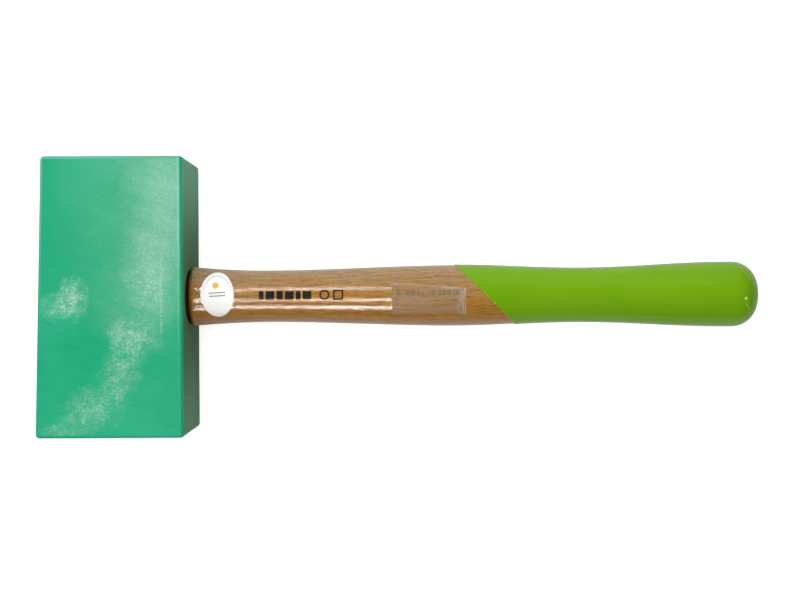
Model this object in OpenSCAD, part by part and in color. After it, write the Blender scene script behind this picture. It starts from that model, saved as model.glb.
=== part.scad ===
// Block-head carving mallet, lying on one side of its head.
// X runs from the head along the handle, Y is the striking direction, Z is up.
// The origin is the centre of the head's lower side, the face that it lies on.

/* [Head] */
// Length of the head between its two striking faces
head_length = 140; // [120:1:160]
// Width of the head, measured along the handle
head_width = 72; // [66:1:84]
// Depth of the head, measured across the side that it lies on
head_depth = 60; // [52:1:70]
// Radius that breaks every edge of the head
head_edge_r = 1.9; // [1:0.1:4]
// Angle by which the outer end of the head is sawn out of square
outer_face_skew = 1.3; // [0:0.1:2]

/* [Eye] */
// Diameter of the bored eye, and of the tenon in it
eye_d = 24; // [20:0.5:26]
// Diameter that the eye flares to at the outer end of the head
eye_flare_d = 27; // [26.5:0.5:30]
// Depth of the flare
eye_flare_length = 34; // [24:1:44]
// How far the tenon stands proud of the outer end
tenon_proud = 1.2; // [0.5:0.1:3]

/* [Handle] */
// Distance from the head's centre to the tip of the handle
handle_reach = 328.4; // [325:0.1:340]
// Radius of the handle's flare where it meets the head
shoulder_r = 15.3; // [14.5:0.1:17]
// Rounding of the shoulder's edge
shoulder_round = 2.8; // [0.8:0.1:3]
// Radius of the neck, its thinnest place
neck_r = 13.4; // [12.5:0.1:14]
// Radius of the swell in the middle
belly_r = 15.7; // [14:0.1:17]
// Radius of the waist that the hand closes round
waist_r = 13.9; // [13:0.1:15]
// Radius of the knob at the end
knob_r = 16.6; // [15.5:0.1:18]
// Rounding of the knob's end
knob_round = 12.2; // [10:0.1:15]

/* [Grip coat] */
// Thickness of the dipped coat on the grip
coat_thickness = 0.3; // [0.2:0.05:0.6]
// Distance from the head's centre to the middle of the coat's slanting edge
coat_edge_x = 187.2; // [180:0.1:200]
// Angle of that edge from square across the handle
coat_edge_angle = 44.3; // [0:0.1:50]

/* [Wedges] */
// Length of the wooden wedge
wood_wedge_length = 46; // [36:1:50]
// Thickness of the wooden wedge at its outer end
wood_wedge_thickness = 4.4; // [3:0.1:6]
// Length of each steel wedge
steel_wedge_length = 18; // [12:1:24]
// Width of each steel wedge
steel_wedge_width = 12; // [8:0.5:14]
// Thickness of each steel wedge at its outer end
steel_wedge_thickness = 2.2; // [1.5:0.1:3]
// Distance of each steel wedge from the handle's axis
steel_wedge_offset = 6.2; // [4:0.1:8]

/* [Labels] */
// Thickness of the oval paper label
oval_label_thickness = 0.15; // [0.1:0.05:0.4]
// Size of the oval label along and across the handle, seen from above
oval_label_size = [16.7, 22.5];
// Thickness of the clear film label
film_label_thickness = 0.1; // [0.1:0.05:0.3]
// Length of the film label along the handle
film_label_length = 37.6; // [20:0.1:38]
// Width of the film label at the end by the head, and at the end by the grip, where it is cut narrower
film_label_widths = [16.1, 13.1];

/* [Hidden] */
$fn = 96;
far = 400; // longer than the whole mallet
over = 1; // how far a cutting tool runs past the surface that it cuts

axis_z = head_depth/2; // height of the handle's axis
eye_r = eye_d/2;
tenon_end_x = -head_width/2 - tenon_proud;
flare_start_x = -head_width/2 + eye_flare_length;
flare_slope = (eye_flare_d - eye_d)/2/eye_flare_length;

// Places along the handle, from the head's centre
shoulder_x = head_width/2;
neck_x = 77;
belly_x = 173;
waist_x = 236;
knob_x = 314;
knob_centre_x = handle_reach - coat_thickness - knob_round;
neck_start = shoulder_x + shoulder_round;
shaft_step = 6; // spacing of the outline's points along the shaft
round_step = 9; // angle between the points of a round stretch
tenon_chamfer = 0.8;

kerf_gap = 1.2; // width of the saw kerf past the wedge's tip
kerf_past_tip = 6;
wedge_tip_thickness = 1.2;
steel_tip_thickness = 0.5;

oval_label_at = [50.9, 1];
oval_label_turn = 3.5;
film_label_at = [139.5, -9.4]; // its corner nearest the head and the lower striking face

// ---------- outlines ----------

// A quarter of a wave from 0 to 1, level at both ends
function ease(t) = (1 - cos(180*t))/2;
function between(x, x0, r0, x1, r1) = r0 + (r1 - r0)*ease((x - x0)/(x1 - x0));

// Radius of the bare wooden shaft at a distance x from the head's centre
function shaft_r(x) =
    x < neck_x ? neck_r + (shoulder_r - neck_r)*pow((neck_x - x)/(neck_x - shoulder_x), 2)
    : x < belly_x ? between(x, neck_x, neck_r, belly_x, belly_r)
    : x < waist_x ? between(x, belly_x, belly_r, waist_x, waist_r)
    : x < knob_x ? between(x, waist_x, waist_r, knob_x, knob_r)
    : knob_r;

// Radius of the eye in its flare, and on past the outer end of the head
function flared_r(x) = eye_r + flare_slope*(flare_start_x - x);

// The rounded shoulder, from the head's face up to the shaft
function shoulder_points() = [
    for (a = [0:15:75]) [
        shaft_r(shoulder_x) - shoulder_round*(1 - sin(a)),
        shoulder_x + shoulder_round*(1 - cos(a))
    ]
];

// The knob's rounded end, swollen by a skin's thickness, down to the axis
function knob_points(skin) = concat(
    [for (a = [0:round_step:90]) [
        knob_r - knob_round + (knob_round + skin)*cos(a),
        knob_centre_x + (knob_round + skin)*sin(a)
    ]],
    [[0, knob_centre_x + knob_round + skin]]
);

// The shaft from a start to the knob, with a skin of the given thickness on it
function shaft_points(start, skin) = concat(
    [[0, start], [shaft_r(start) + skin, start]],
    [for (x = [start + shaft_step:shaft_step:knob_centre_x - shaft_step/2]) [shaft_r(x) + skin, x]],
    knob_points(skin)
);

// ---------- helpers ----------

// Turns a solid of revolution about Z into one about the handle's axis
module along_handle() {
    translate([0, 0, axis_z]) rotate([0, 90, 0]) children();
}

// A convex outline with true round corners, from the centres of its corners in order
module rounded_outline(centres, r) {
    n = len(centres);
    normals = [for (i = [0:n - 1])
        let (d = centres[(i + 1) % n] - centres[i]) [d.y, -d.x]/norm(d)];
    polygon([for (i = [0:n - 1]) each [
        centres[i] + r*normals[(i + n - 1) % n],
        centres[i] + r*normals[i]
    ]]);
    for (c = centres) translate(c) circle(r);
}

// The head's block with every edge rounded
module head_block() {
    r = head_edge_r;
    x = head_width/2 - r;
    y = head_length/2 - r;
    lean = tan(outer_face_skew)*y;
    intersection() {
        // the four upright edges
        linear_extrude(head_depth)
            rounded_outline([[x, -y], [x, y], [lean - x, y], [-lean - x, -y]], r);
        // the four long edges beside the striking direction, those of the outer end skewed with it
        bar_along_y(0, [[x, r], [x, head_depth - r], [-far, head_depth - r], [-far, r]]);
        bar_along_y(-outer_face_skew, [[far, r], [far, head_depth - r], [-x, head_depth - r], [-x, r]]);
        // the four edges along the handle
        rotate([90, 0, 90]) linear_extrude(far, center = true)
            rounded_outline([[-y, r], [y, r], [y, head_depth - r], [-y, head_depth - r]], r);
    }
}

// A bar along Y with a rounded outline in X and Z, turned about Z
module bar_along_y(turn, centres) {
    rotate([0, 0, turn]) rotate([90, 0, 0]) linear_extrude(far, center = true)
        rounded_outline(centres, head_edge_r);
}

// The space that the tenon fills: a cylinder that flares towards the outer end
module eye_space(start, end) {
    along_handle() rotate_extrude() polygon([
        [0, start],
        [flared_r(start), start],
        [eye_r, flare_start_x],
        [eye_r, end],
        [0, end]
    ]);
}

// A wedge with its thick end at the tenon's end, tapering along X; it is thin in Z, or in Y when turned
module wedge_prism(length, width, thick, thin, offset) {
    translate([tenon_end_x, 0, axis_z + offset]) rotate([90, 0, 0])
        linear_extrude(width, center = true)
            polygon([[0, -thick/2], [length, -thin/2], [length, thin/2], [0, thick/2]]);
}

// The wooden wedge's taper, standing upright across the whole tenon
module wood_wedge_taper() {
    translate([0, 0, axis_z]) rotate([90, 0, 0]) translate([0, 0, -axis_z])
        wedge_prism(wood_wedge_length, eye_flare_d + 2*over, wood_wedge_thickness, wedge_tip_thickness, 0);
}

// The steel wedge on one side of the handle's axis
module steel_wedge(side) {
    color("silver")
        wedge_prism(steel_wedge_length, steel_wedge_width, steel_wedge_thickness,
                    steel_tip_thickness, side*steel_wedge_offset);
}

// A skin on the handle's upper half, cut to the outline given by the children
module label_skin(thickness) {
    intersection() {
        difference() {
            along_handle() rotate_extrude() polygon(shaft_points(neck_start, thickness));
            along_handle() rotate_extrude() polygon(shaft_points(neck_start, 0));
        }
        translate([0, 0, axis_z]) linear_extrude(knob_r + over) children();
    }
}

// ---------- the pieces ----------

module head() {
    color("mediumseagreen") difference() {
        head_block();
        eye_space(tenon_end_x - over, shoulder_x + over);
    }
}

// The shaft and its tenon, turned from one piece and sawn for the wedge
module handle() {
    color("peru") difference() {
        along_handle() rotate_extrude() polygon(concat(
            [
                [0, tenon_end_x],
                [flared_r(tenon_end_x) - tenon_chamfer, tenon_end_x],
                [flared_r(tenon_end_x + tenon_chamfer), tenon_end_x + tenon_chamfer],
                [eye_r, flare_start_x],
                [eye_r, shoulder_x]
            ],
            shoulder_points(),
            [for (x = [neck_start:shaft_step:knob_centre_x - shaft_step/2]) [shaft_r(x), x]],
            knob_points(0)
        ));
        wood_wedge_taper();
        translate([tenon_end_x + wood_wedge_length - over, -kerf_gap/2, axis_z - eye_flare_d/2])
            cube([kerf_past_tip + over, kerf_gap, eye_flare_d]);
        steel_wedge(-1);
        steel_wedge(1);
    }
}

// The wooden wedge, trimmed flush with the tenon all round
module wood_wedge() {
    color("burlywood") difference() {
        intersection() {
            wood_wedge_taper();
            eye_space(tenon_end_x, shoulder_x);
        }
        steel_wedge(-1);
        steel_wedge(1);
    }
}

// The dipped coat: a skin on the grip that ends on a slanting plane
module grip_coat() {
    color("yellowgreen") difference() {
        along_handle() rotate_extrude() polygon(shaft_points(neck_start, coat_thickness));
        along_handle() rotate_extrude() polygon(shaft_points(neck_start, 0));
        translate([coat_edge_x, 0, axis_z]) rotate([0, 0, coat_edge_angle])
            translate([-far, -far/2, -far/2]) cube([far, far, far]);
    }
}

module oval_label() {
    color("white") label_skin(oval_label_thickness)
        translate(oval_label_at) rotate(oval_label_turn)
            polygon([for (a = [0:round_step:359])
                [oval_label_size.x/2*cos(a), oval_label_size.y/2*sin(a)]]);
}

module film_label() {
    color("tan") label_skin(film_label_thickness)
        translate(film_label_at) polygon([
            [0, 0],
            [film_label_length, 0],
            [film_label_length, film_label_widths[1]],
            [0, film_label_widths[0]]
        ]);
}

head();
handle();
wood_wedge();
steel_wedge(1);  // steel_wedge_1
steel_wedge(-1);  // steel_wedge_2
grip_coat();
oval_label();
film_label();
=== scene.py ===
"""Looks for a block-head carving mallet that lies on one side of its head.

The frame is the CAD's: X along the handle from the head to the grip, Y the striking direction, Z up.
Dimensions are in millimetres, from the head's centre in X and Y, and turned into metres as points are made.
"""

import functools
import math

import bmesh
import bpy
from mathutils import Euler, Matrix, Vector, noise


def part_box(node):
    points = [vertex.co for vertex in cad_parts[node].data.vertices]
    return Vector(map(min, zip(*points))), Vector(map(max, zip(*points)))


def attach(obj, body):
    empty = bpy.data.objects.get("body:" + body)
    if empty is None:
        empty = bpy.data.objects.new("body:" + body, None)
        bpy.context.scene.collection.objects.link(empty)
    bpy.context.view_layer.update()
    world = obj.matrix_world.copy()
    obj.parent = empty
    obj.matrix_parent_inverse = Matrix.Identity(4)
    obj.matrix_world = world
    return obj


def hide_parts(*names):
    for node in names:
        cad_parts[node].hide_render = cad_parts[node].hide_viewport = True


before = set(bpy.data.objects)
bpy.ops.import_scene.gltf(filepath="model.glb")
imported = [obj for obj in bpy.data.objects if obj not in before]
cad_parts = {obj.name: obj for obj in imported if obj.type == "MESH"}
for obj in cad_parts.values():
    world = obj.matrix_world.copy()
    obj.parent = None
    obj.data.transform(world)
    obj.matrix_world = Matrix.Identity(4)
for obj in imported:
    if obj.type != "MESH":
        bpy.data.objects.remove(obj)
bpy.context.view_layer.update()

MM = 0.001
ROOT = "root"

# ---------- driving dimensions ----------

head_low, head_high = (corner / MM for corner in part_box("head"))
handle_low, handle_high = (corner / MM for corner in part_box("handle"))

AXIS_Z = (head_low.z + head_high.z) / 2
HEAD_X = head_high.x  # from the head's centre to the side that the handle comes out of
HEAD_Y = head_high.y
HEAD_TOP = head_high.z
EDGE_ROUND = 1.9
OUTER_FACE_SKEW = math.radians(1.3)

EYE_R = 12.0
EYE_FLARE_R = 13.5
FLARE_START_X = -2.0
FLARE_SLOPE = (EYE_FLARE_R - EYE_R) / (FLARE_START_X + HEAD_X)
EYE_CHAMFER = 0.5
JOINT_GAP = 0.02  # keeps faces that touch from lying in one plane

TENON_END_X = handle_low.x
TENON_CHAMFER = 0.8
SHOULDER_R = 15.3
SHOULDER_ROUND = 2.8
FOOT_R = SHOULDER_R - SHOULDER_ROUND  # where the shoulder touches the head
NECK_X, NECK_R = 77.0, 13.4
BELLY_X, BELLY_R = 173.0, 15.7
WAIST_X, WAIST_R = 236.0, 13.9
KNOB_X, KNOB_R = 314.0, 16.6
KNOB_ROUND = 12.2
WOOD_END_X = handle_high.x
KNOB_CENTRE_X = WOOD_END_X - KNOB_ROUND

COAT = 0.3
COAT_LIP = 0.4  # length over which the coat's rim is rounded
COAT_EDGE_X = 187.2
COAT_EDGE_SLOPE = math.tan(math.radians(44.3))

WEDGE_LENGTH, WEDGE_THICK, WEDGE_THIN = 46.0, 4.4, 1.2
KERF_GAP, KERF_PAST_TIP = 1.2, 6.0
STEEL_LENGTH, STEEL_WIDTH, STEEL_THICK, STEEL_THIN = 18.0, 12.0, 2.2, 0.5
STEEL_OFFSET = 6.2

LABEL_GAP = 0.01  # under both labels
OVAL_CENTRE = (50.9, 1.0)
OVAL_RADII = (8.35, 11.25)
OVAL_TURN = math.radians(3.5)
OVAL_THICKNESS = 0.15
FILM_LOW = (139.5, -9.4)
FILM_HIGH = (177.1, 6.7)
FILM_NARROW = 3.0  # how much lower the film's upper edge is at the grip's end
FILM_THICKNESS = 0.1

PRINT_Y = 0.6  # middle of the row of printed marks
INK_LOW, INK_HIGH = 0.005, 0.03
BLOCKS_X = 71.9  # where the row of blocks begins
BLOCK_WIDTHS = (2.4, 4.4, 3.2, 4.4, 2.4, 4.4)
BLOCK_HEIGHT, BLOCK_GAP = 4.6, 1.1
RING_X, SQUARE_X = 105.2, 112.2
SYMBOL_SIZE, SYMBOL_LINE = 2.6, 0.85  # half the size of the ring and the square, and their line

SEGMENTS = 128  # points round the handle
ANGLES = [2 * math.pi * i / SEGMENTS for i in range(SEGMENTS)]
KNOB_TURNS = [math.radians(a) for a in range(6, 91, 6)]
SHARP = math.radians(30)  # edges that turn by more than this are shaded as edges


# ---------- mesh helpers ----------

def to_frame(point):
    """A point in millimetres from the head's centre, as metres in the frame."""
    return Vector(point) * MM


def fill_mesh(mesh, bm):
    """Moves bm into a mesh, with its faces outwards, and shades it smooth between sharp edges."""
    bmesh.ops.recalc_face_normals(bm, faces=bm.faces)
    bm.to_mesh(mesh)
    bm.free()
    mesh.shade_smooth()
    mesh.set_sharp_from_angle(angle=SHARP)


def new_object(name, bm):
    mesh = bpy.data.meshes.new(name)
    fill_mesh(mesh, bm)
    piece = bpy.data.objects.new(name, mesh)
    bpy.context.scene.collection.objects.link(piece)
    return piece


def mesh_of_rings(rings, closed=False):
    """A bmesh of quads between rings of points, in millimetres. A ring of one point is a pole."""
    bm = bmesh.new()
    layers = [[bm.verts.new(to_frame(p)) for p in ring] for ring in rings]
    following = layers[1:] + layers[:1] if closed else layers[1:]
    for near, far in zip(layers, following):
        for i in range(max(len(near), len(far))):
            j = i + 1
            corners = [near[i % len(near)], near[j % len(near)], far[j % len(far)], far[i % len(far)]]
            bm.faces.new(list(dict.fromkeys(corners)))
    return bm


def middle_of(low, high):
    return [(a + b) / 2 for a, b in zip(low, high)]


def spread(start, end, step):
    """Evenly spaced values from start to end, about a step apart."""
    count = max(1, round(abs(end - start) / step))
    return [start + (end - start) * i / count for i in range(count + 1)]


def cut(piece, cutter, operation="DIFFERENCE"):
    """Applies a boolean to the piece's mesh and removes the cutter."""
    modifier = piece.modifiers.new("cut", "BOOLEAN")
    modifier.operation = operation
    modifier.solver = "EXACT"
    modifier.object = cutter
    depsgraph = bpy.context.evaluated_depsgraph_get()
    result = bpy.data.meshes.new_from_object(piece.evaluated_get(depsgraph))
    piece.modifiers.clear()
    old = piece.data
    piece.data = result
    result.name = old.name
    bpy.data.meshes.remove(old)
    bpy.data.objects.remove(cutter)


def finish_mesh(piece):
    """Welds what a boolean left almost touching and sets the shading again."""
    weld = 0.0005 * MM
    bm = bmesh.new()
    bm.from_mesh(piece.data)
    bmesh.ops.remove_doubles(bm, verts=bm.verts, dist=weld)
    bmesh.ops.dissolve_degenerate(bm, edges=bm.edges, dist=weld)
    fill_mesh(piece.data, bm)


def settle(piece, material, slot, *nodes):
    """Gives a finished piece its material and its body, and hides the CAD nodes that it stands for. The
    slot is not used.
    """
    piece.data.materials.clear()
    piece.data.materials.append(material)
    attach(piece, ROOT)
    if nodes:
        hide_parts(*nodes)


# ---------- the handle's surface ----------

def eased(x, x0, r0, x1, r1):
    """Radius at x between two places, level at both."""
    return r0 + (r1 - r0) * (1 - math.cos(math.pi * (x - x0) / (x1 - x0))) / 2


def shaft_radius(x):
    """Radius of the bare wood at x, as in the CAD."""
    if x < NECK_X:
        return NECK_R + (SHOULDER_R - NECK_R) * ((NECK_X - x) / (NECK_X - HEAD_X)) ** 2
    if x < BELLY_X:
        return eased(x, NECK_X, NECK_R, BELLY_X, BELLY_R)
    if x < WAIST_X:
        return eased(x, BELLY_X, BELLY_R, WAIST_X, WAIST_R)
    if x < KNOB_X:
        return eased(x, WAIST_X, WAIST_R, KNOB_X, KNOB_R)
    return KNOB_R


def unevenness(x, angle):
    """What sanding left on the turned shaft, a few hundredths of a millimetre."""
    depth, wave_length, waves, fade_length = 0.09, 45, 1.2, 10
    at = Vector((x / wave_length, waves * math.cos(angle), waves * math.sin(angle)))
    fade = min(1, max(0, (x - HEAD_X - SHOULDER_ROUND) / fade_length))
    return depth * fade * noise.noise(at)


def on_shaft(x, angle, lift=0):
    """Point on the shaft at x, at an angle from +Y towards +Z, lifted off the wood."""
    r = shaft_radius(x) + unevenness(x, angle) + lift
    return x, r * math.cos(angle), AXIS_Z + r * math.sin(angle)


def on_knob(turn, angle, lift=0):
    """Point on the knob's rounded end, turned from its widest ring towards the tip."""
    r = KNOB_R - KNOB_ROUND + (KNOB_ROUND + lift) * math.cos(turn)
    r += unevenness(KNOB_CENTRE_X, angle) * math.cos(turn)
    x = KNOB_CENTRE_X + (KNOB_ROUND + lift) * math.sin(turn)
    return x, r * math.cos(angle), AXIS_Z + r * math.sin(angle)


def above_shaft(x, y, lift):
    """Point on the upper half of the shaft that is seen from above at x, y."""
    angle = math.acos(max(-1, min(1, y / shaft_radius(x))))
    return on_shaft(x, angle, lift)


def round_ring(x, r):
    """A true circle about the handle's axis."""
    return [(x, r * math.cos(a), AXIS_Z + r * math.sin(a)) for a in ANGLES]


def flared_radius(x):
    """Radius of the eye where it flares towards the outer end of the head."""
    return EYE_R + FLARE_SLOPE * (FLARE_START_X - x)


# ---------- the pieces ----------

def rounded_face_line(half):
    """Places across one face of a block: close together where its edges turn, and even between."""
    step = 3
    turns = [EDGE_ROUND * math.tan(math.radians(a)) for a in range(45, 0, -9)]
    flat = half - EDGE_ROUND
    return [-flat - t for t in turns] + spread(-flat, flat, step) + [flat + t for t in reversed(turns)]


def head_block():
    """The block with rounded edges, from a grid on each face of a box, its faces slightly uneven."""
    wave_depth, wave_length, face_depth, weld = 0.05, 28, 0.2, 0.001
    half = Vector((HEAD_X, HEAD_Y, AXIS_Z))
    inner = half - Vector((EDGE_ROUND,) * 3)
    bm = bmesh.new()
    for axis in range(3):
        u_axis, v_axis = (axis + 1) % 3, (axis + 2) % 3
        for side in (-1, 1):
            grid = []
            for u in rounded_face_line(half[u_axis]):
                row = []
                for v in rounded_face_line(half[v_axis]):
                    p = Vector()
                    p[axis], p[u_axis], p[v_axis] = side * half[axis], u, v
                    core = Vector([max(-i, min(i, c)) for c, i in zip(p, inner)])
                    row.append(bm.verts.new(core + (p - core).normalized() * EDGE_ROUND))
                grid.append(row)
            for low, high in zip(grid, grid[1:]):
                for i in range(len(low) - 1):
                    bm.faces.new([low[i], low[i + 1], high[i + 1], high[i]])
    bmesh.ops.remove_doubles(bm, verts=bm.verts, dist=weld)
    for v in bm.verts:
        skewed = (HEAD_X - v.co.x) / (2 * HEAD_X) * math.tan(OUTER_FACE_SKEW) * v.co.y
        wave = wave_depth * noise.noise(v.co / wave_length)
        v.co.x += skewed
        v.co += wave * Vector([c / h if abs(c) > h - face_depth else 0 for c, h in zip(v.co, half)])
        v.co.z = max(v.co.z + AXIS_Z, 0)
        v.co *= MM
    return bm


def eye_cutter():
    """The eye's inside, flared and chamfered, running past both sides of the head."""
    past = 3
    mouth = EYE_FLARE_R + EYE_CHAMFER
    profile = [
        (-HEAD_X - past, mouth + past),
        (-HEAD_X + EYE_CHAMFER, flared_radius(-HEAD_X + EYE_CHAMFER)),
        (FLARE_START_X, EYE_R),
        (HEAD_X - EYE_CHAMFER, EYE_R),
        (HEAD_X + past, EYE_R + EYE_CHAMFER + past),
    ]
    rings = [[(profile[0][0], 0, AXIS_Z)]]
    rings += [round_ring(x, r) for x, r in profile]
    rings += [[(profile[-1][0], 0, AXIS_Z)]]
    return new_object("eye_cutter", mesh_of_rings(rings))


def make_head():
    head = new_object("head_block", head_block())
    cut(head, eye_cutter())
    finish_mesh(head)
    settle(head, head_plastic(), "head_plastic", "head")


def tapered_prism(name, length, thick, thin, width, offset=0, upright=True, gap=0):
    """A wedge with its thick end at the tenon's end. It is thin in Y when upright, or else in Z."""
    def section(x, half):
        across, along = (half, width / 2) if upright else (width / 2, half)
        return [
            (x, sy * across, AXIS_Z + offset + sz * along)
            for sy, sz in ((-1, -1), (1, -1), (1, 1), (-1, 1))
        ]
    start, end = TENON_END_X, TENON_END_X + length
    slope = (thick - thin) / 2 / length
    past = 2 if gap else 0
    rings = [section(x, thin / 2 + slope * (end - x) + gap) for x in (start - past, end)]
    bm = bmesh.new()
    layers = [[bm.verts.new(to_frame(p)) for p in ring] for ring in rings]
    bm.faces.new(layers[0])
    bm.faces.new(layers[1])
    for i in range(4):
        j = (i + 1) % 4
        bm.faces.new([layers[0][i], layers[0][j], layers[1][j], layers[1][i]])
    return new_object(name, bm)


def wood_wedge_prism(name, gap=0):
    return tapered_prism(name, WEDGE_LENGTH, WEDGE_THICK, WEDGE_THIN, 4 * EYE_R, gap=gap)


def steel_wedge_prism(name, side, gap=0):
    return tapered_prism(name, STEEL_LENGTH, STEEL_THICK, STEEL_THIN, STEEL_WIDTH + 2 * gap,
                         offset=side * STEEL_OFFSET, upright=False, gap=gap)


def kerf_cutter():
    """The saw kerf that runs on past the tip of the wooden wedge."""
    tip, overlap = TENON_END_X + WEDGE_LENGTH, 1
    start, end = tip - overlap, tip + KERF_PAST_TIP
    bm = bmesh.new()
    bmesh.ops.create_cube(bm, size=1)
    for v in bm.verts:
        x = start if v.co.x < 0 else end
        v.co = to_frame((x, v.co.y * KERF_GAP, AXIS_Z + v.co.z * 4 * EYE_R))
    return new_object("kerf_cutter", bm)


def tenon_end_rings(x, radius):
    """Rings of a sawn end, from its centre out, a few hundredths of a millimetre uneven."""
    depth, across, along = 0.06, 3, 9  # of the saw's marks
    rings = [[(x, 0, AXIS_Z)]]
    for r in spread(2, radius, 2):
        rings.append([
            (x + depth * noise.noise(Vector((0, r * math.cos(a) / across, r * math.sin(a) / along))),
             r * math.cos(a), AXIS_Z + r * math.sin(a))
            for a in ANGLES
        ])
    return rings


def make_handle():
    """The shaft and its tenon in one piece, sawn for the wedges."""
    tenon_r = flared_radius(TENON_END_X) - JOINT_GAP
    first_flared_x = -34  # the first ring past the chamfer
    rings = tenon_end_rings(TENON_END_X, tenon_r - TENON_CHAMFER)
    for turn in (30, 60, 90):
        a = math.radians(turn)
        rings.append(round_ring(TENON_END_X + TENON_CHAMFER * (1 - math.cos(a)),
                                tenon_r - TENON_CHAMFER * (1 - math.sin(a))))
    flared = spread(first_flared_x, FLARE_START_X, 4)
    rings += [round_ring(x, flared_radius(x) - JOINT_GAP) for x in flared]
    rings += [round_ring(x, EYE_R - JOINT_GAP) for x in spread(0, HEAD_X + JOINT_GAP, 6)]
    rings.append(round_ring(HEAD_X + JOINT_GAP, FOOT_R))
    for turn in range(15, 76, 10):
        a = math.radians(turn)
        rings.append(round_ring(HEAD_X + JOINT_GAP + SHOULDER_ROUND * (1 - math.cos(a)),
                                FOOT_R + SHOULDER_ROUND * math.sin(a)))
    shaft = spread(HEAD_X + SHOULDER_ROUND, KNOB_CENTRE_X, 1.5)
    rings += [[on_shaft(x, a) for a in ANGLES] for x in shaft]
    rings += [[on_knob(turn, a) for a in ANGLES] for turn in KNOB_TURNS]
    rings += [[(WOOD_END_X, 0, AXIS_Z)]]
    handle = new_object("handle_shaft", mesh_of_rings(rings))
    cut(handle, wood_wedge_prism("wedge_slot", gap=JOINT_GAP))
    cut(handle, kerf_cutter())
    for side in (-1, 1):
        cut(handle, steel_wedge_prism("steel_slot", side, gap=JOINT_GAP))
    finish_mesh(handle)
    settle(handle, handle_wood(), "handle_wood", "handle")


def make_wood_wedge():
    """The wooden wedge, trimmed to the tenon all round and sawn off almost flush with it."""
    proud = 0.15
    end_x = TENON_END_X - proud
    envelope = [[(end_x, 0, AXIS_Z)]]
    for x in (end_x, FLARE_START_X):
        envelope.append(round_ring(x, flared_radius(max(x, TENON_END_X)) - 2 * JOINT_GAP))
    envelope.append(round_ring(HEAD_X, EYE_R - 2 * JOINT_GAP))
    envelope.append([(HEAD_X, 0, AXIS_Z)])
    wedge = new_object("wooden_wedge", mesh_of_rings(envelope))
    cut(wedge, wood_wedge_prism("wedge_envelope", gap=-JOINT_GAP), "INTERSECT")
    for side in (-1, 1):
        cut(wedge, steel_wedge_prism("steel_slot", side, gap=JOINT_GAP))
    finish_mesh(wedge)
    settle(wedge, wedge_beech(), "wedge_wood", "wood_wedge")


def make_steel_wedge(side, node):
    """A steel wedge, driven a little past the sawn end, with rounded edges and a beaten head."""
    edge_round, longest_edge = 0.22, 1.2
    beaten_depth, driven, dent_depth, dent_size = 0.5, 0.25, 0.14, 1.4
    wedge = steel_wedge_prism("steel_" + node, side)
    bm = bmesh.new()
    bm.from_mesh(wedge.data)
    bmesh.ops.bevel(bm, geom=list(bm.edges), offset=edge_round * MM, segments=3, affect="EDGES",
                    clamp_overlap=True)
    long_edges = [e for e in bm.edges if e.calc_length() > longest_edge * MM]
    bmesh.ops.subdivide_edges(bm, edges=long_edges, cuts=5, use_grid_fill=True)
    direction = Vector((1, 0.37, 0.137))  # to sort along, as a bevel's own order differs between runs
    bm.verts.sort(key=lambda vert: vert.co.dot(direction))
    bm.faces.sort(key=lambda face: face.calc_center_median().dot(direction))
    for v in bm.verts:
        if v.co.x < (TENON_END_X + beaten_depth) * MM:
            v.co.x += (driven + dent_depth * noise.noise(v.co / (dent_size * MM))) * MM
    wedge.name = node.replace("steel_wedge", "cross_wedge")
    bm.to_mesh(wedge.data)
    bm.free()
    finish_mesh(wedge)
    settle(wedge, wedge_steel(), "wedge_steel", node)


def coat_thickness(from_rim):
    """Thickness of the coat at a distance from its rim: a rounded lip, a fat edge, then even."""
    if from_rim < COAT_LIP:
        return COAT * math.sqrt(1 - (1 - from_rim / COAT_LIP) ** 2)
    fat, fat_at, fat_width = 0.07, 1.1, 0.8
    return COAT + fat * math.exp(-((from_rim - fat_at) / fat_width) ** 2)


def coat_rim_x(angle):
    """Where the coat begins at an angle round the shaft: a slanting plane, with a slight waver."""
    waver, waves = 0.22, 2.2
    y = (BELLY_R + COAT) * math.cos(angle)
    at = Vector((waves * math.cos(angle), waves * math.sin(angle), 3))
    return COAT_EDGE_X - COAT_EDGE_SLOPE * y + waver * noise.noise(at)


def drip(turn):
    """The small bead where the last of the lacquer ran off the knob's tip."""
    height, width = 0.22, 2.6
    from_tip = (KNOB_R - KNOB_ROUND) + KNOB_ROUND * math.cos(turn)
    return height * math.exp(-(from_tip / width) ** 2)


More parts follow.
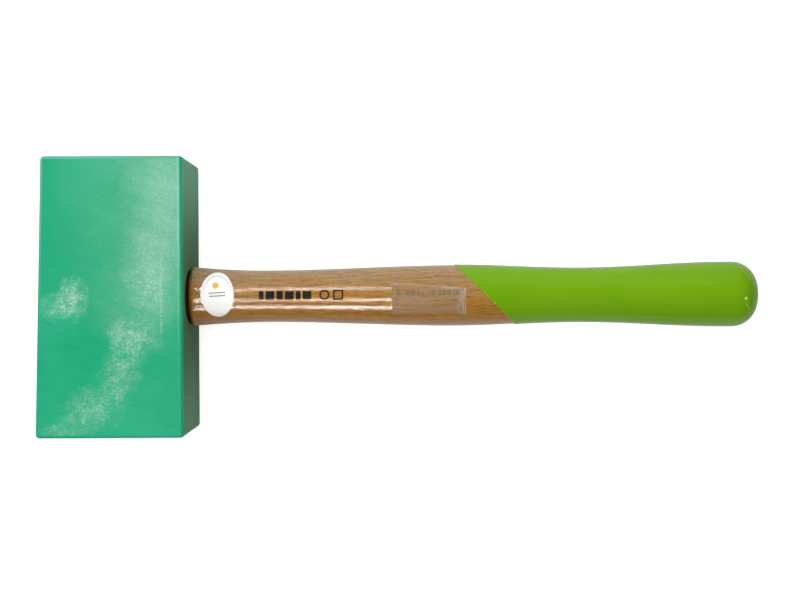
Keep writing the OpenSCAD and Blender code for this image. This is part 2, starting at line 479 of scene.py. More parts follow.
def make_grip_coat():
    """The dipped skin: its inside from the tip back to the rim, the lip, and its outside to the tip."""
    near_rim = [0.03, 0.08, 0.15, 0.25, 0.4, 0.6, 0.9, 1.3, 1.8, 2.4, 3.2, 4.2, 5.5]
    rings_along, far_from_rim = 95, 10
    along = spread(0, 1, 1 / rings_along)[1:]
    inside_lift = JOINT_GAP / 2
    tip_bead = drip(math.pi / 2) * 1.35  # fullest at the very tip

    def shaft_rings(lift):
        rings = [[on_shaft(coat_rim_x(a) + d, a, lift(d)) for a in ANGLES] for d in near_rim]
        for t in along:
            ring = []
            for a in ANGLES:
                start = coat_rim_x(a) + near_rim[-1]
                ring.append(on_shaft(start + (KNOB_CENTRE_X - start) * t, a, lift(far_from_rim)))
            rings.append(ring)
        return rings

    def knob_rings(lift):
        return [[on_knob(turn, a, lift(turn)) for a in ANGLES] for turn in KNOB_TURNS]

    inside = shaft_rings(lambda d: inside_lift) + knob_rings(lambda turn: inside_lift)
    outside = shaft_rings(coat_thickness) + knob_rings(lambda turn: COAT + drip(turn))
    rim = [[on_shaft(coat_rim_x(a), a, JOINT_GAP) for a in ANGLES]]
    inner_tip = [[(WOOD_END_X + inside_lift, 0, AXIS_Z)]]
    outer_tip = [[(WOOD_END_X + COAT + tip_bead, 0, AXIS_Z)]]
    coat = new_object("dipped_coat", mesh_of_rings(inner_tip + inside[::-1] + rim + outside + outer_tip))
    settle(coat, grip_lacquer(), "grip_lacquer", "grip_coat")


def plate_on_shaft(outline, low, high, middle, rings):
    """A thin plate that lies on the shaft: outline and middle are as seen from above, in millimetres."""
    side_share, edge_round = 0.6, 0.15  # how high its side rises, and how far in its top edge is
    def loop(share, lift):
        return [
            above_shaft(middle[0] + (x - middle[0]) * share, middle[1] + (y - middle[1]) * share, lift)
            for x, y in outline
        ]
    shares = [(i + 1) / rings for i in range(rings)]
    under = [[above_shaft(*middle, low)]] + [loop(s, low) for s in shares]
    edge = [loop(1, low + (high - low) * side_share), loop(1 - edge_round / rings, high)]
    over = [loop(s, high) for s in shares[-2::-1]] + [[above_shaft(*middle, high)]]
    return mesh_of_rings(under + edge + over)


def box_outline(low, high, step, drop=0):
    """Points round a rectangle seen from above. Its upper edge drops by so much towards the grip."""
    (x0, y0), (x1, y1) = low, high
    across, up, down = spread(x0, x1, step), spread(y0, y1, step), spread(y0, y1 - drop, step)
    lower = [(x, y0) for x in across]
    right = [(x1, y) for y in down[1:]]
    upper = [(x, y1 - drop * (x - x0) / (x1 - x0)) for x in across[::-1][1:]]
    left = [(x0, y) for y in up[::-1][1:-1]]
    return lower + right + upper + left


def make_oval_label():
    turn = Matrix.Rotation(OVAL_TURN, 2)
    outline = [
        turn @ Vector((OVAL_RADII[0] * math.cos(a), OVAL_RADII[1] * math.sin(a))) + Vector(OVAL_CENTRE)
        for a in ANGLES
    ]
    bm = plate_on_shaft(outline, LABEL_GAP, OVAL_THICKNESS, OVAL_CENTRE, rings=14)
    settle(new_object("oval_sticker", bm), label_paper(), "label_paper", "oval_label")


def make_film_label():
    outline = box_outline(FILM_LOW, FILM_HIGH, 0.8, FILM_NARROW)
    bm = plate_on_shaft(outline, LABEL_GAP, FILM_THICKNESS, middle_of(FILM_LOW, FILM_HIGH), rings=14)
    settle(new_object("film_sticker", bm), label_film(), "label_film", "film_label")


def make_printed_marks():
    """A plain row of ink blocks, a ring and a square: generic marks under the varnish."""
    step = 0.6
    bm = bmesh.new()

    def join(part):
        mesh = bpy.data.meshes.new("part")
        part.to_mesh(mesh)
        part.free()
        bm.from_mesh(mesh)
        bpy.data.meshes.remove(mesh)

    def join_symbol(x, unit_outline):
        outer, inner = SYMBOL_SIZE, SYMBOL_SIZE - SYMBOL_LINE
        loops = []
        for size, lift in ((outer, INK_LOW), (outer, INK_HIGH), (inner, INK_HIGH), (inner, INK_LOW)):
            loops.append([above_shaft(x + size * u, PRINT_Y + size * v, lift) for u, v in unit_outline])
        join(mesh_of_rings(loops, closed=True))

    x = BLOCKS_X
    for width in BLOCK_WIDTHS:
        low, high = (x, PRINT_Y - BLOCK_HEIGHT / 2), (x + width, PRINT_Y + BLOCK_HEIGHT / 2)
        outline = box_outline(low, high, step)
        join(plate_on_shaft(outline, INK_LOW, INK_HIGH, middle_of(low, high), rings=4))
        x += width + BLOCK_GAP
    join_symbol(RING_X, [(math.cos(a), math.sin(a)) for a in ANGLES[::4]])
    join_symbol(SQUARE_X, box_outline((-1, -1), (1, 1), 0.25))
    settle(new_object("printed_marks", bm), print_ink(), "handle_wood")


# ---------- materials ----------

class Shade:
    """A node material, with short ways to add nodes. Places are in millimetres in the frame."""

    def __init__(self, name, **constants):
        self.material = bpy.data.materials.new(name)
        self.material.use_nodes = True
        self.tree = self.material.node_tree
        self.shader = self.tree.nodes["Principled BSDF"]
        for socket, value in constants.items():
            self.shader.inputs[socket.replace("_", " ")].default_value = value
        coordinates = self.tree.nodes.new("ShaderNodeTexCoord").outputs["Object"]
        self.place = self.vector("MULTIPLY", coordinates, (1 / MM,) * 3)

    def feed(self, socket, value):
        if isinstance(value, bpy.types.NodeSocket):
            self.tree.links.new(value, socket)
        else:
            socket.default_value = value

    def add(self, kind, settings=None, **inputs):
        node = self.tree.nodes.new("ShaderNode" + kind)
        for name, value in (settings or {}).items():
            setattr(node, name, value)
        for name, value in inputs.items():
            self.feed(node.inputs[name.replace("_", " ")], value)
        return node

    def math(self, operation, *values):
        node = self.add("Math", {"operation": operation})
        for socket, value in zip(node.inputs, values):
            self.feed(socket, value)
        return node.outputs[0]

    def vector(self, operation, *values):
        node = self.add("VectorMath", {"operation": operation})
        for socket, value in zip(node.inputs, values):
            self.feed(socket, value)
        return node.outputs[0]

    def total(self, *values):
        return functools.reduce(functools.partial(self.math, "ADD"), values)

    def product(self, *values):
        return functools.reduce(functools.partial(self.math, "MULTIPLY"), values)

    def length(self, vector):
        return self.add("VectorMath", {"operation": "LENGTH"}, Vector=vector).outputs["Value"]

    def distance(self, value, middle):
        """How far a value is from another, whichever is greater."""
        return self.math("ABSOLUTE", self.math("SUBTRACT", value, middle))

    def axis(self, name):
        """The place's X, Y or Z."""
        return self.add("SeparateXYZ", Vector=self.place).outputs[name]

    def seen_from(self, centre, scale=(1, 1, 1), turn=(0, 0, 0), place=None):
        """The place, or another, in a frame of its own, set at centre, turned and scaled."""
        node = self.add("Mapping", {"vector_type": "TEXTURE"}, Vector=place or self.place,
                        Location=centre, Rotation=turn, Scale=scale)
        return node.outputs[0]

    def noise(self, size, detail=2.0, rough=0.5, centre=(0, 0, 0), turn=(0, 0, 0)):
        """Noise of a grain size in millimetres, one number or one for each axis."""
        size = size if isinstance(size, tuple) else (size,) * 3
        node = self.add("TexNoise", Vector=self.seen_from(centre, size, turn), Scale=1.0, Detail=detail,
                        Roughness=rough)
        return node.outputs["Fac"]

    def between(self, value, low, high, to_low=0.0, to_high=1.0):
        """Eases from to_low to to_high as value goes from low to high."""
        node = self.add("MapRange", {"interpolation_type": "SMOOTHSTEP"})
        for name, number in (("Value", value), ("From Min", low), ("From Max", high),
                             ("To Min", to_low), ("To Max", to_high)):
            self.feed(node.inputs[name], number)
        return node.outputs["Result"]

    def blob(self, centre, radii, turn=0.0, place=None):
        """1 at the centre, fading to 0 at the radii."""
        at = self.seen_from(centre, radii, (0, 0, turn), place)
        return self.add("TexGradient", {"gradient_type": "SPHERICAL"}, Vector=at).outputs["Fac"]

    def mix(self, share, low, high):
        """A colour between two."""
        node = self.add("Mix", {"data_type": "RGBA"})
        for socket, value in ((node.inputs[0], share), (node.inputs[6], low), (node.inputs[7], high)):
            self.feed(socket, value)
        return node.outputs[2]

    def bump(self, height, depth, below=None):
        """A normal from a height of 0 to 1 that is depth millimetres deep."""
        node = self.add("Bump", Height=height, Distance=depth * MM, Strength=1.0)
        if below is not None:
            self.feed(node.inputs["Normal"], below)
        return node.outputs["Normal"]

    def set(self, **sockets):
        for name, value in sockets.items():
            self.feed(self.shader.inputs[name.replace("_", " ")], value)
        return self.material


def rgb(red, green, blue):
    return (red, green, blue, 1.0)


# The head's pale patches as seen on its upper side, rubbed, the soft ones partly a painted sheen: x, y,
# half sizes, turn in degrees, coverage
SOFT_HAZE_AND_SHEEN = (
    (32, 52, 66, 84, 0, 0.1),
    (28, 52, 24, 44, 0, 0.1375),
    (23, 16, 20, 34, 8, 0.1125),
    (10, -4, 26, 24, -20, 0.0625),
)
SCUFFS = (
    (18, 6, 13, 30, 8, 0.1625),
    (12, -20, 17, 10, -8, 0.1875),
    (7, -20, 10, 9, 0, 0.1625),
    (6, -36, 12, 19, -20, 0.25),
    (-9, -56, 21, 13, 28, 0.2375),
    (-19, -1, 9.5, 12, -10, 0.3625),
    (-27, -4, 12, 8, 15, 0.2375),
    (-26, -67, 10, 5, 0, 0.1875),
)
PATCH_DEPTH = 9  # how far down from the upper side the patches reach


def head_base(m):
    """The plastic's own green, with faint dark sweeps over the lower half."""
    deep, mid, swept = rgb(0.003, 0.318, 0.152), rgb(0.012, 0.342, 0.178), rgb(0.001, 0.275, 0.122)
    drift = m.between(m.noise(42, 3), 0.36, 0.64)
    sweeps = m.between(m.noise((50, 1.5, 9), 3, 0.6, turn=(0, 0, math.radians(-17))), 0.5, 0.72)
    lower = m.between(m.axis("Y"), 25, -15, 0.12, 0.36)
    return m.mix(m.product(sweeps, lower), m.mix(drift, deep, mid), swept)


def head_cover(m, patches, place):
    """How much the patches cover, added up."""
    spots = []
    for x, y, half_x, half_y, turn, coverage in patches:
        spot = m.blob((x, y, HEAD_TOP), (half_x, half_y, PATCH_DEPTH), math.radians(turn), place)
        spots.append(m.product(spot, coverage))
    return m.total(*spots)


def head_haze(m, normals):
    """How pale the head is: rubbed in patches above, the soft ones partly a painted sheen, here and there
    below, and on its edges, which are also painted paler towards +Y as light.
    """
    reach = 16  # how far the patches' edges are pulled about
    scratch_centre, scratch_radii = (25.2, -2, HEAD_TOP), (0.9, 28, PATCH_DEPTH)
    pull = m.add("TexNoise", Vector=m.seen_from((0, 0, 0), (9, 9, 40)), Scale=1.0, Detail=5.0,
                 Roughness=0.65).outputs["Color"]
    pull = m.vector("MULTIPLY", m.vector("SUBTRACT", pull, (0.5, 0.5, 0.5)), (reach, reach, 0))
    ragged = m.vector("ADD", m.place, pull)

    grains = m.between(m.noise(1.3, 5, 0.8), 0.42, 0.68)
    threads = m.between(m.noise((0.6, 6, 4), 3, 0.7), 0.4, 0.68)
    crossed = m.between(m.noise((5, 0.7, 4), 3, 0.7), 0.45, 0.7)
    lines = m.math("MAXIMUM", threads, crossed)
    speckle = m.total(m.product(grains, 0.8), m.product(lines, 0.45), 0.17)
    blotches = m.noise((5, 4, 5), 3, 0.6, turn=(0, 0, math.radians(20)))
    blotches = m.between(blotches, 0.38, 0.62, 0.55, 1.4)

    # the soft patches are partly rubbed and partly a painted sheen
    soft = m.product(head_cover(m, SOFT_HAZE_AND_SHEEN, ragged), m.total(0.6, m.product(speckle, 0.6)))
    scuffs = m.product(head_cover(m, SCUFFS, ragged), speckle, blotches)
    below = m.between(m.axis("Z"), HEAD_TOP - 3, HEAD_TOP - 12)
    elsewhere = m.product(m.between(m.noise(38, 2, centre=(90, 0, 0)), 0.5, 0.8), below, speckle, 0.12)
    scratch = m.between(m.blob(scratch_centre, scratch_radii), 0.1, 0.5)
    scratch = m.product(scratch, lines, 0.2)
    wiped = m.between(m.noise((60, 7, 9), 5, 0.65, turn=(0, 0, math.radians(-24))), 0.3, 0.7, 0.82, 1.18)

    facing = [m.math("ABSOLUTE", normals[name]) for name in "XYZ"]
    most = m.math("MAXIMUM", m.math("MAXIMUM", facing[0], facing[1]), facing[2])
    flat = m.between(most, 0.97, 0.995)
    haze = m.product(m.total(soft, scuffs, elsewhere, scratch), wiped, flat)
    # the rounded edges are paler towards +Y: partly rubbed, partly painted light from that side
    rounded = m.product(m.math("SUBTRACT", 1.0, flat), m.between(normals["X"], 0.15, 0.05))
    rubbed_and_lit_edges = m.product(rounded, m.between(m.axis("Y"), -30, 60, 0.0, 0.1))
    arris = m.between(m.distance(m.axis("X"), HEAD_X - EDGE_ROUND - 0.5), 0.5, 0.2)
    arris = m.product(arris, m.between(m.axis("Z"), HEAD_TOP - 1, HEAD_TOP - 0.2))
    arris = m.product(arris, m.between(m.axis("Y"), -60, 50, 0.0, 0.1))
    return m.total(haze, rubbed_and_lit_edges, arris)


def head_plastic():
    """Planed green polyethylene, hazy where it has been rubbed and partly with a painted sheen, with sawn
    ends, and a dull handle side with painted shade about the joint.
    """
    m = Shade("head_plastic", IOR=1.5, Specular_IOR_Level=0.2)
    normals = m.add("SeparateXYZ", Vector=m.add("NewGeometry").outputs["Normal"]).outputs
    haze = head_haze(m, normals)
    colour = m.mix(m.math("MINIMUM", haze, 0.6), head_base(m), rgb(0.80, 0.86, 0.82))

    # the handle side is dull, with painted shade: darkest beside the handle, paler towards its ends and
    # most towards +Y
    shaded_beside_joint, upper_end, lower_end = (
        rgb(0.105, 0.165, 0.056), rgb(0.27, 0.56, 0.36), rgb(0.20, 0.32, 0.18)
    )
    dull = m.between(normals["X"], 0.75, 0.98)
    side = m.mix(m.between(m.axis("Y"), 15, 66), shaded_beside_joint, upper_end)
    side = m.mix(m.between(m.axis("Y"), -22, -62), side, lower_end)
    colour = m.mix(m.product(dull, 0.7), colour, side)

    # painted black shade round the joint, reaching further up than down
    joint_centre, joint_stretch = (0, 0, AXIS_Z + 4), (0, 1, 0.7)
    from_joint = m.vector("MULTIPLY", m.vector("SUBTRACT", m.place, joint_centre), joint_stretch)
    joint_shade = m.product(dull, m.between(m.length(from_joint), FOOT_R + 2.2, FOOT_R + 0.6))
    colour = m.mix(m.product(joint_shade, 0.98), colour, rgb(0.003, 0.002, 0.001))

    # planed along its sides and sawn across its ends
    planing = m.noise((0.7, 46, 0.7), 2)
    sawing = m.noise((0.8, 9, 30), 2)
    marks = m.add("Mix", Factor=m.between(m.math("ABSOLUTE", normals["Y"]), 0.6, 0.9))
    m.feed(marks.inputs[2], planing)
    m.feed(marks.inputs[3], sawing)
    normal = m.bump(marks.outputs[0], 0.035)
    normal = m.bump(m.noise(1.6, 3, 0.6), 0.02, normal)
    rough = m.math("MAXIMUM", m.between(haze, 0.0, 0.4, 0.42, 0.6), m.product(dull, 0.7))
    rough = m.math("MAXIMUM", rough, joint_shade)
    return m.set(Base_Color=colour, Roughness=rough, Normal=normal)


def wood_pattern(m, pith, spacing, turn):
    """Growth rings round a pith, and fibres and pores along X. Each comes as 0 to 1."""
    at = m.seen_from(pith, (1, 1, 1), turn)
    node = m.add("TexWave", {"wave_type": "RINGS", "rings_direction": "X", "wave_profile": "SAW"},
                 Vector=at, Scale=0.314 / spacing, Distortion=2.4, Detail=2.0, Detail_Scale=0.6,
                 Detail_Roughness=0.6)
    rings = node.outputs["Fac"]
    fibres = m.noise((14, 0.5, 0.5), 4, 0.65)
    pores = m.noise((5, 0.42, 0.42), 2, 0.5)
    return rings, fibres, pores


def under_film(m):
    """1 on the upper half of the shaft, within the film label's width and length."""
    beside = [
        m.math("SUBTRACT", m.distance(m.axis(name), (low + high) / 2), (high - low) / 2)
        for name, low, high in zip("XY", FILM_LOW, FILM_HIGH)
    ]
    inside = m.between(m.math("MAXIMUM", *beside), 0.0, -0.2)
    return m.product(inside, m.between(m.axis("Z"), AXIS_Z, AXIS_Z + 1))


def handle_wood():
    """Hickory: golden brown heartwood, painted paler towards +Y as a sheen and browner towards -Y as shade,
    with painted shade next to the head, under clear varnish except on the tenon.
    """
    m = Shade("handle_wood", Coat_Roughness=0.08, Coat_IOR=1.45, Specular_IOR_Level=0.2)
    golden, brown, pale = rgb(0.39, 0.172, 0.010), rgb(0.18, 0.066, 0.004), rgb(0.35, 0.215, 0.095)
    fleck, pore, unvarnished, shaded = (
        rgb(0.44, 0.23, 0.04), rgb(0.07, 0.028, 0.006), rgb(0.12, 0.06, 0.02), rgb(0.02, 0.01, 0.004)
    )
    rings, fibres, pores = wood_pattern(m, (0, 30, -38), 2.6, (0, math.radians(0.7), math.radians(0.5)))
    streaks = m.noise((70, 2.5, 2.5), 3, 0.6)
    # painted sheen and shade: the shaft is paler towards +Y, where the light falls, and browner towards -Y,
    # with streaks breaking the line
    painted_sheen_side = m.total(m.axis("Y"), m.between(streaks, 0.3, 0.7, -4.5, 4.5))
    colour = m.mix(m.between(painted_sheen_side, -1, 8), golden, pale)
    colour = m.mix(m.between(painted_sheen_side, 0, -9, 0.0, 0.2), colour, brown)
    colour = m.mix(m.product(m.between(streaks, 0.5, 0.75), 0.35), colour, brown)
    colour = m.mix(m.product(m.math("POWER", rings, 2.0), 0.32), colour, brown)
    colour = m.mix(m.product(m.between(fibres, 0.45, 0.7), 0.4), colour, brown)
    colour = m.mix(m.product(m.between(fibres, 0.5, 0.3), 0.25), colour, pale)
    flecks = m.between(m.noise((2.0, 0.6, 0.6), 3, 0.7), 0.5, 0.68)
    colour = m.mix(m.product(flecks, 0.3), colour, fleck)
    dark = m.between(pores, 0.53, 0.66)
    colour = m.mix(m.product(dark, 0.5), colour, pore)
    bare = m.between(m.axis("X"), HEAD_X, HEAD_X - 2)
    colour = m.mix(m.product(bare, 0.35), colour, unvarnished)
    # painted shade on the wood next to the head's face
    joint_shade = m.between(m.axis("X"), HEAD_X + 1.4, HEAD_X)
    colour = m.mix(m.product(joint_shade, 0.25), colour, shaded)
    normal = m.bump(m.math("SUBTRACT", 1.0, dark), 0.04)
    normal = m.bump(m.noise((14, 1.6, 1.6), 2), 0.05, normal)
    varnish = m.bump(m.noise((5, 0.8, 0.8), 4, 0.65), 0.08)
    dull = m.math("MAXIMUM", bare, m.product(under_film(m), 0.9))
    return m.set(Base_Color=colour, Roughness=m.between(fibres, 0.3, 0.7, 0.5, 0.65), Normal=normal,
                 Coat_Weight=m.math("SUBTRACT", 1.0, dull), Coat_Normal=varnish)


def wedge_beech():
    """Pale beech, sawn across: fine dark flecks along the grain."""
    m = Shade("wedge_beech")
    rings, fibres, pores = wood_pattern(m, (0, -40, 55), 1.7, (0, 0, 0))
    colour = m.mix(m.product(rings, 0.5), rgb(0.60, 0.40, 0.21), rgb(0.42, 0.24, 0.11))
    colour = m.mix(m.product(m.between(pores, 0.55, 0.7), 0.6), colour, rgb(0.25, 0.12, 0.05))
    normal = m.bump(m.noise((4, 0.5, 3), 3), 0.06)
    return m.set(Base_Color=colour, Roughness=m.between(fibres, 0.3, 0.7, 0.55, 0.75), Normal=normal)


def wedge_steel():
    """Mill steel, scratched along its length, with grey scale and a beaten end."""
    m = Shade("wedge_steel")
    scale = m.between(m.noise(2.2, 4, 0.65), 0.4, 0.62)
    colour = m.mix(scale, rgb(0.50, 0.49, 0.47), rgb(0.20, 0.17, 0.15))
    normal = m.bump(m.noise((6, 0.25, 0.25), 2), 0.02)
    normal = m.bump(m.noise(1.1, 2), 0.05, normal)
    return m.set(Base_Color=colour, Metallic=m.between(scale, 0, 1, 1.0, 0.6),
                 Roughness=m.between(scale, 0, 1, 0.28, 0.55), Normal=normal)


def grip_lacquer():
    """Apple-green dipping lacquer: even, with a soft gloss, over faint ridges of the wood below."""
    m = Shade("grip_lacquer", Specular_IOR_Level=0.26)
    glint_centre, glint_radii = (319.3, -2.2, 0), (1.0, 1.0, 1)
    scratch_centre, scratch_radii, scratch_turn = (320.6, -6.3, 0), (0.5, 3.2, 1), math.radians(32)
    drift = m.between(m.noise((60, 14, 14), 3), 0.3, 0.7)
    colour = m.mix(drift, rgb(0.130, 0.302, 0.002), rgb(0.146, 0.328, 0.003))

    # a painted glint and a scratch, on the knob's upper half only
    above = m.between(m.axis("Z"), AXIS_Z, AXIS_Z + 1)
    seen = m.vector("MULTIPLY", m.place, (1, 1, 0))
    painted_glint = m.between(m.blob(glint_centre, glint_radii, 0, seen), 0.1, 0.6)
    colour = m.mix(m.product(painted_glint, above), colour, rgb(0.55, 0.72, 0.50))
    scratch = m.between(m.blob(scratch_centre, scratch_radii, scratch_turn, seen), 0.0, 0.5)
    colour = m.mix(m.product(scratch, above, 0.6), colour, rgb(0.34, 0.52, 0.12))

    normal = m.bump(m.noise((40, 1.4, 1.4), 2), 0.012)
    normal = m.bump(m.noise(4.5, 2), 0.02, normal)
    rough = m.between(m.noise(11, 3), 0.3, 0.7, 0.13, 0.19)
    return m.set(Base_Color=colour, Roughness=rough, Normal=normal)


def ring_mask(m, at, radius, line):
    """1 on a thin ring about the origin of a frame, or on a disc where the radius is 0."""
    return m.between(m.distance(m.length(at), radius), line, line * 0.6)


def flat_frame(m, centre, turn):
    """The place as seen from above, from a centre and turned."""
    at = m.seen_from((*centre, 0), (1, 1, 1), (0, 0, turn))
    return m.vector("MULTIPLY", at, (1, 1, 0))


def label_paper():
    """White coated paper, with a thin grey ring, an ochre dot and two short grey lines."""
    m = Shade("label_paper")
    ring_radius, ring_line = 0.84, 0.03  # as shares of the label's radii
    dot_centre, dot_radius = (-0.6, 4.6, 0), 2.0
    line_places, line_half_length = (0.9, -0.7), 4.2
    at = flat_frame(m, OVAL_CENTRE, OVAL_TURN)
    parts = m.add("SeparateXYZ", Vector=at).outputs
    fibres = m.between(m.noise((0.9, 0.9, 4), 4, 0.65), 0.35, 0.65)
    colour = m.mix(fibres, rgb(0.84, 0.82, 0.82), rgb(0.90, 0.89, 0.885))
    squashed = m.vector("MULTIPLY", at, (1 / OVAL_RADII[0], 1 / OVAL_RADII[1], 0))
    upper = m.between(parts["Y"], -1, 3)
    ring = m.product(ring_mask(m, squashed, ring_radius, ring_line), m.total(0.12, upper))
    colour = m.mix(m.product(ring, 0.5), colour, rgb(0.42, 0.42, 0.45))
    dot = ring_mask(m, m.vector("SUBTRACT", at, dot_centre), 0, dot_radius)
    colour = m.mix(dot, colour, rgb(0.72, 0.46, 0.05))
    for row in line_places:
        high = m.between(m.distance(parts["Y"], row), 0.42, 0.28)
        wide = m.between(m.math("ABSOLUTE", parts["X"]), line_half_length, line_half_length - 0.2)
        colour = m.mix(m.product(high, wide, 0.75), colour, rgb(0.13, 0.12, 0.12))
    normal = m.bump(m.noise(1.3, 3, 0.6), 0.012)
    return m.set(Base_Color=colour, Roughness=m.between(fibres, 0, 1, 0.42, 0.52), Normal=normal)


def label_film():
    """Clear matt film over the wood: a pale haze, with painted highlights along its sloping edge and
    towards its end at the grip.
    """
    m = Shade("label_film")
    (low_x, _), (high_x, high_y) = FILM_LOW, FILM_HIGH
    parts = m.add("SeparateXYZ", Vector=m.place).outputs
    haze = m.between(m.noise((16, 1.1, 1.1), 3, 0.6), 0.3, 0.7)
    # painted highlights: towards the film's end at the grip, and along its sloping upper edge
    end_highlight = m.between(parts["X"], high_x - 6, high_x - 1)
    end_highlight = m.product(end_highlight, m.between(m.noise((0.9, 9, 9), 3), 0.3, 0.7))
    upper_edge = m.between(parts["X"], low_x, high_x, high_y, high_y - FILM_NARROW)
    rim = m.between(m.math("SUBTRACT", upper_edge, parts["Y"]), 0.9, 0.3)
    rim = m.product(rim, m.between(m.noise((6, 2, 2), 2), 0.35, 0.6, 0.2, 0.8))
    # white holds the painted highlights, which also cloud the film
    white = m.math("MAXIMUM", end_highlight, rim)
    colour = m.mix(haze, rgb(0.37, 0.27, 0.16), rgb(0.50, 0.39, 0.28))
    colour = m.mix(white, colour, rgb(0.66, 0.56, 0.44))

    # a row of faint dashes, in place of print
    row_y, row_half_height, margin_left, margin_right = 1.4, 1.5, 2, 3
    row = m.between(m.distance(parts["Y"], row_y), row_half_height, row_half_height - 0.2)
    dashes = m.between(m.noise((1.5, 30, 30), 1, 0.5), 0.47, 0.52)
    after_start = m.between(parts["X"], low_x + margin_left, low_x + margin_left + 0.5)
    before_end = m.between(parts["X"], high_x - margin_right, high_x - margin_right - 0.5)
    ink = m.product(row, dashes, after_start, before_end, 0.6)
    colour = m.mix(ink, colour, rgb(0.16, 0.11, 0.05))

    opacity = m.total(m.between(haze, 0, 1, 0.12, 0.22), m.product(white, 0.2), m.product(ink, 0.35))
    normal = m.bump(m.noise((3, 1.2, 1.2), 3), 0.03)
    return m.set(Base_Color=colour, Alpha=opacity, Roughness=m.between(haze, 0, 1, 0.5, 0.62),
                 Normal=normal)


def print_ink():
    """Black ink that has taken unevenly on the wood, under the varnish."""
    m = Shade("print_ink", Coat_Weight=0.4, Coat_Roughness=0.1, Specular_IOR_Level=0.15)
    thin = m.between(m.noise((2.2, 0.5, 0.5), 3, 0.6), 0.52, 0.72)
    colour = m.mix(m.product(thin, 0.6), rgb(0.008, 0.006, 0.005), rgb(0.08, 0.045, 0.015))
    normal = m.bump(m.noise((9, 1.3, 1.3), 3), 0.05)
    return m.set(Base_Color=colour, Roughness=m.between(thin, 0, 1, 0.5, 0.65), Normal=normal)


# ---------- the stage ----------

FLOOR_GAP = 0.05  # below the head
FLOOR_BOUNCE = 0.55  # how much light the table gives back
FLOOR_GLOW = 0.75  # what it adds to its own look, so that it stays white
FLOOR_SHEEN = 0.15  # and to its look in reflections

SEEN_BY_CAMERA = 0.9  # the studio's brightness behind everything
SEEN_IN_GLOSS = 0.3  # share of the studio's light that shows in reflections

CAMERA_LENS, CAMERA_SENSOR = 60.69, 36
CAMERA_PLACE = (134.73, 1.77, 728.61)
CAMERA_TURN = (-0.00575, -0.01294, -0.0049)


def make_floor():
    """A white table, lit evenly: it looks white, and bounces the light of a mid-grey one."""
    bm = bmesh.new()
    bmesh.ops.create_grid(bm, x_segments=1, y_segments=1, size=4)
    floor = new_object("floor", bm)
    floor.location.z = -FLOOR_GAP * MM
    material = bpy.data.materials.new("floor_white")
    material.use_nodes = True
    tree = material.node_tree
    table = tree.nodes["Principled BSDF"]
    table.inputs["Base Color"].default_value = rgb(FLOOR_BOUNCE, FLOOR_BOUNCE, FLOOR_BOUNCE)
    table.inputs["Roughness"].default_value = 0.9
    table.inputs["Specular IOR Level"].default_value = 0.0
    glow = tree.nodes.new("ShaderNodeEmission")
    add = tree.nodes.new("ShaderNodeAddShader")
    rays = tree.nodes.new("ShaderNodeLightPath")
    shares = []
    for ray, strength in (("Is Camera Ray", FLOOR_GLOW), ("Is Glossy Ray", FLOOR_SHEEN)):
        share = tree.nodes.new("ShaderNodeMath")
        share.operation = "MULTIPLY"
        share.inputs[1].default_value = strength
        tree.links.new(rays.outputs[ray], share.inputs[0])
        shares.append(share.outputs[0])
    strongest = tree.nodes.new("ShaderNodeMath")
    strongest.operation = "MAXIMUM"
    tree.links.new(shares[0], strongest.inputs[0])
    tree.links.new(shares[1], strongest.inputs[1])
    tree.links.new(strongest.outputs[0], glow.inputs["Strength"])
    tree.links.new(table.outputs[0], add.inputs[0])
    tree.links.new(glow.outputs[0], add.inputs[1])
    tree.links.new(add.outputs[0], tree.nodes["Material Output"].inputs["Surface"])
    floor.data.materials.append(material)


def area_light(name, place, target, size, power, mirrored=False):
    """A soft light at a place in metres that faces a target. A mirrored one shows only in reflections."""
    data = bpy.data.lights.new(name, "AREA")
    data.shape = "RECTANGLE"
    data.size, data.size_y = size
    data.energy = power
    light = bpy.data.objects.new(name, data)
    light.location = place
    light.rotation_euler = (Vector(target) - Vector(place)).to_track_quat("-Z", "Y").to_euler()
    light.visible_camera = False
    light.visible_glossy = mirrored
    light.visible_diffuse = not mirrored
    bpy.context.scene.collection.objects.link(light)


def make_lights():
    """A large soft light overhead, a weaker one from each striking side, and strips seen in the varnish."""
    axis_height = AXIS_Z * MM
    centre = (0.1, 0, axis_height)
    area_light("overhead", (-0.08, 0.22, 1.3), centre, (0.6, 1.0), 11.8)
    area_light("upper_side", (0.0, 1.2, 0.6), centre, (0.7, 0.5), 2.6)
    area_light("lower_side", (0.0, -1.2, 0.6), centre, (0.7, 0.5), 2.4)
    reach, breadth = 0.8, 0.09
    # each leans by some degrees from upright towards +Y, x and length are in metres
    for name, lean, x, length, strength in (
        ("panel_1", 30, 0.0245, 0.031, 80),
        ("panel_2", 29, 0.047, 0.014, 20),
        ("panel_3", -17, 0.069, 0.048, 90),
        ("panel_4", -17, 0.028, 0.034, 3),
        ("panel_5", -48, 0.059, 0.068, 90),
        ("panel_6", -48, 0.017, 0.016, 5),
    ):
        a = math.radians(lean)
        place = (x, reach * math.sin(a), axis_height + reach * math.cos(a))
        power = strength * math.pi * length * breadth
        area_light(name, place, (x, 0, axis_height), (length, breadth), power, mirrored=True)


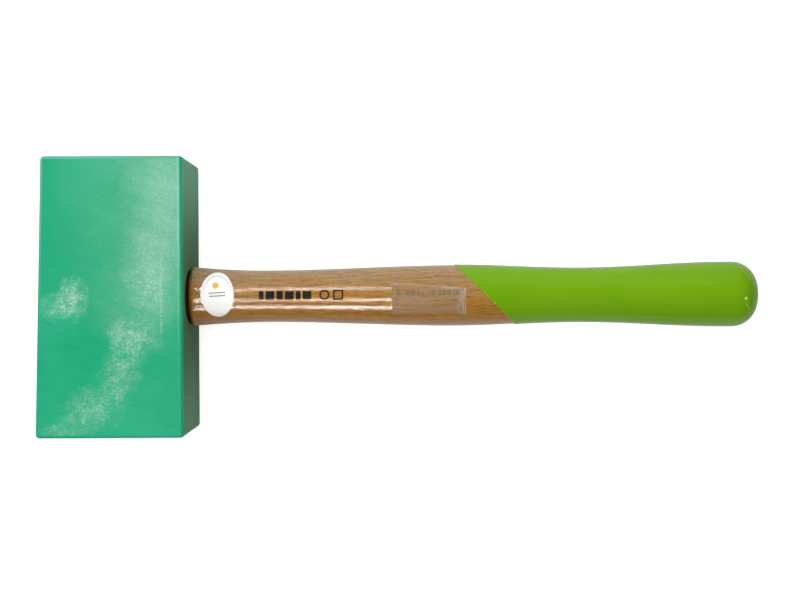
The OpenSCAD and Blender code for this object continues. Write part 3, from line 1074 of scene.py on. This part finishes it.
def make_world():
    """A pale studio, brightest beyond the +Y striking face, dim overhead and dark on the grip's side."""
    world = bpy.data.worlds.new("studio")
    bpy.context.scene.world = world
    world.use_nodes = True
    tree = world.node_tree
    background = tree.nodes["Background"]
    direction = tree.nodes.new("ShaderNodeTexCoord").outputs["Generated"]
    split = tree.nodes.new("ShaderNodeSeparateXYZ")
    tree.links.new(direction, split.inputs[0])

    def wall(axis, low, high, dim, bright):
        """Brightness that goes from dim to bright as the direction's axis goes from low to high."""
        node = tree.nodes.new("ShaderNodeMapRange")
        node.interpolation_type = "SMOOTHSTEP"
        for name, value in (("From Min", low), ("From Max", high), ("To Min", dim), ("To Max", bright)):
            node.inputs[name].default_value = value
        tree.links.new(split.outputs[axis], node.inputs["Value"])
        return node.outputs[0]

    def join(operation, first, second):
        node = tree.nodes.new("ShaderNodeMath")
        node.operation = operation
        tree.links.new(first, node.inputs[0])
        tree.links.new(second, node.inputs[1])
        return node.outputs[0]

    beyond_ends = join("ADD", wall("Y", 0.3, 0.8, 0.0, 1.1), wall("Y", -0.6, -0.95, 0.0, 0.1))
    sides = join("MULTIPLY", beyond_ends, wall("X", 0.5, 0.15, 0.0, 1.0))
    studio = join("ADD", sides, wall("X", 0.0, -0.9, 0.25, 0.8))
    rays = tree.nodes.new("ShaderNodeLightPath")
    dimmed = tree.nodes.new("ShaderNodeMapRange")
    dimmed.inputs["To Min"].default_value = 1.0
    dimmed.inputs["To Max"].default_value = SEEN_IN_GLOSS
    tree.links.new(rays.outputs["Is Glossy Ray"], dimmed.inputs["Value"])
    shown = tree.nodes.new("ShaderNodeMix")
    tree.links.new(rays.outputs["Is Camera Ray"], shown.inputs[0])
    tree.links.new(join("MULTIPLY", studio, dimmed.outputs[0]), shown.inputs[2])
    shown.inputs[3].default_value = SEEN_BY_CAMERA
    tree.links.new(shown.outputs[0], background.inputs["Strength"])
    background.inputs["Color"].default_value = rgb(1, 1, 1)


def make_camera():
    """Above the mallet, looking almost straight down."""
    data = bpy.data.cameras.new("camera")
    data.sensor_width = CAMERA_SENSOR
    data.lens = CAMERA_LENS
    camera = bpy.data.objects.new("camera", data)
    camera.location = to_frame(CAMERA_PLACE)
    camera.rotation_euler = Euler(CAMERA_TURN)
    bpy.context.scene.collection.objects.link(camera)
    bpy.context.scene.camera = camera


def main():
    bpy.context.scene.view_settings.view_transform = "Standard"
    make_camera()
    make_world()
    make_lights()
    make_floor()
    make_head()
    make_handle()
    make_wood_wedge()
    make_steel_wedge(1, "steel_wedge_1")
    make_steel_wedge(-1, "steel_wedge_2")
    make_grip_coat()
    make_oval_label()
    make_film_label()
    make_printed_marks()


main()
